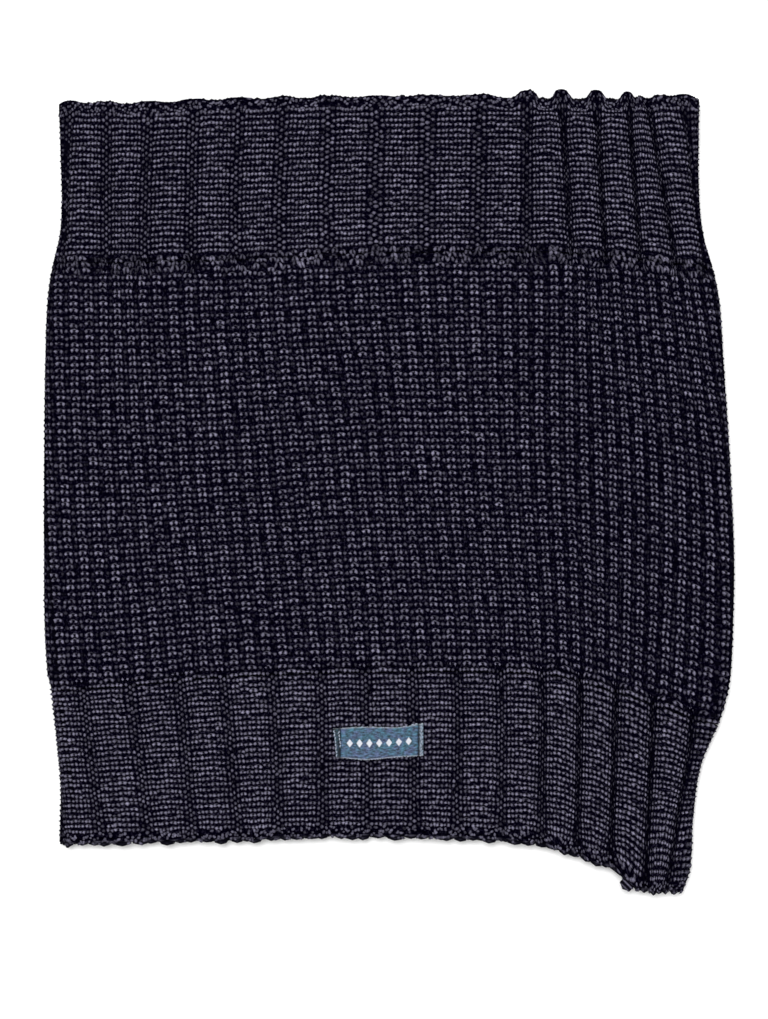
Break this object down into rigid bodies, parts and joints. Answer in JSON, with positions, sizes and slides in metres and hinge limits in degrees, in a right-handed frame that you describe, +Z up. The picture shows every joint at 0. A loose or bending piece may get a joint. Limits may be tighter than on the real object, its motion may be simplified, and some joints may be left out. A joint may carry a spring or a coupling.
{
  "type": "snood",
  "caption": "Knitted tubular snood lying flat, with a plain body, a ribbed band at each end, chained hems and a small woven label.",
  "frame": {"origin": "middle of the lying tube's footprint, on the surface that it rests on", "axes": "+Z up from the surface, out of the front sheet that carries the label; +Y along the tube from the labelled band to the other; +X to the right as the label is read"},
  "size_m": [0.2766, 0.3222, 0.0164],
  "materials": {
    "knit": "matt soft-spun yarn, very dark navy, knitted",
    "edge_yarn": "matt soft-spun yarn, very dark navy, in a chain of stitches",
    "label": "woven ribbon, slate blue, slight satin sheen"
  },
  "bodies": {
    "root": {"upper_rib_band": "knit", "body": "knit", "lower_rib_band": "knit", "cast_off_chain": "edge_yarn", "cast_on_chain": "edge_yarn", "label": "label"}
  },
  "joints": []
}
